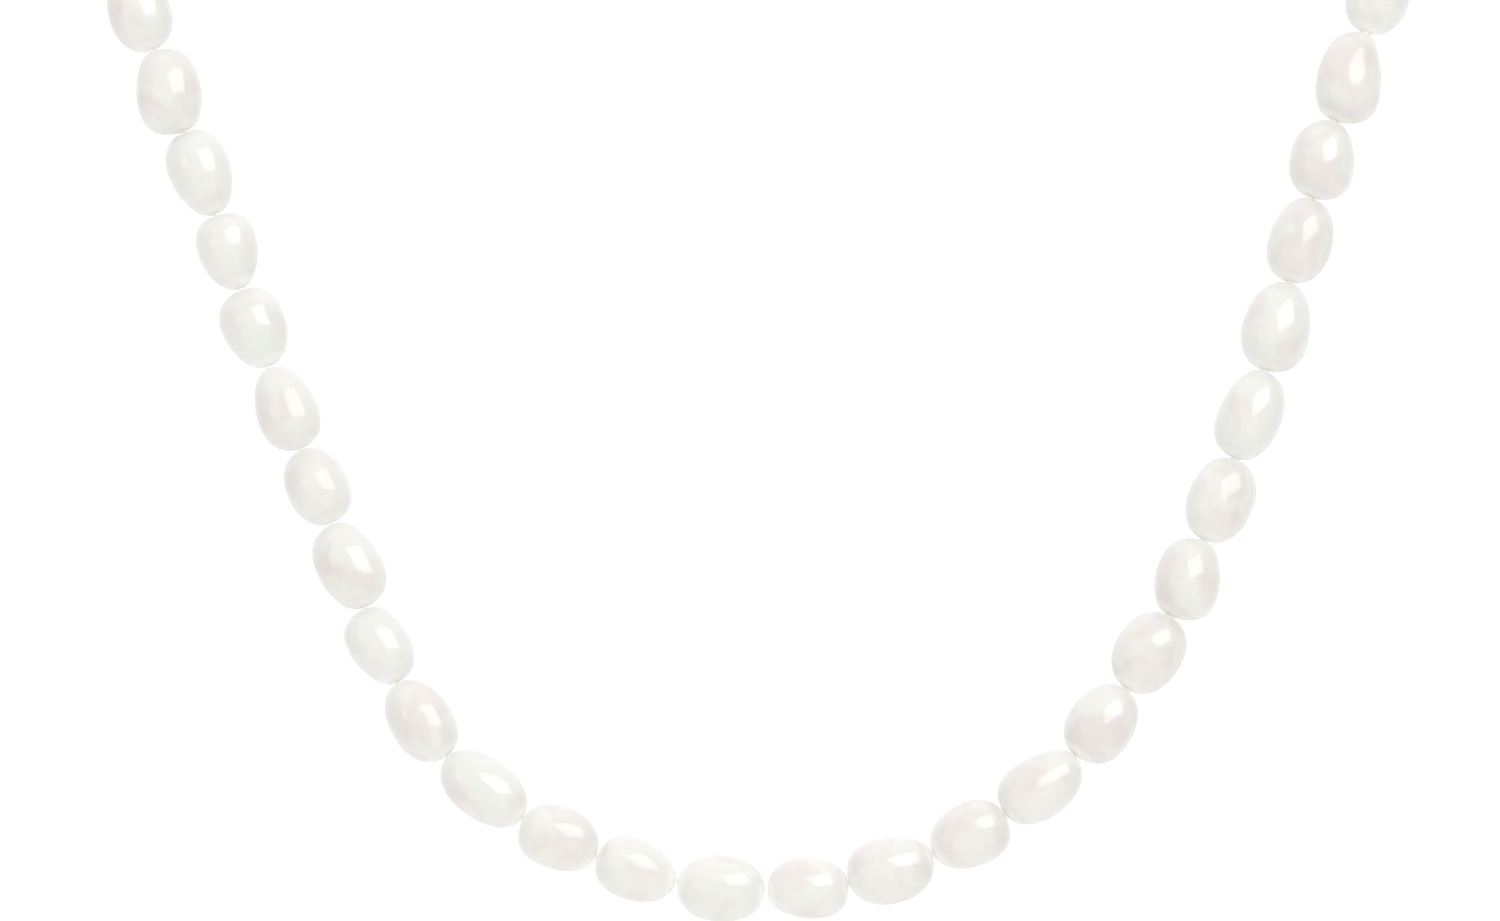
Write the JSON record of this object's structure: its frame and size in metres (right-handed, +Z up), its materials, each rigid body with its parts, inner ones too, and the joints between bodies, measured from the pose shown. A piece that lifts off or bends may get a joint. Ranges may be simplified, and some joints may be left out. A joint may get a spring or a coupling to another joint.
{
  "type": "freshwater pearl necklace",
  "caption": "Single-strand necklace of oval freshwater pearls on a silk thread, closed at the nape by a small barrel clasp.",
  "frame": {"origin": "the middle of the clasp's inner side, where it lies on the nape of the neck", "axes": "+X to the right as seen from the front, along the clasp; +Y from the front of the neck to its back; +Z up"},
  "size_m": [0.1277, 0.1116, 0.1075],
  "materials": {
    "pearl": "cream nacre with a soft lustre and a faint pink and green orient",
    "clasp_metal": "plain polished silver"
  },
  "bodies": {
    "root": {"pearl_string_left": "pearl", "pearl_string_right": "pearl", "clasp": "clasp_metal"}
  },
  "joints": []
}
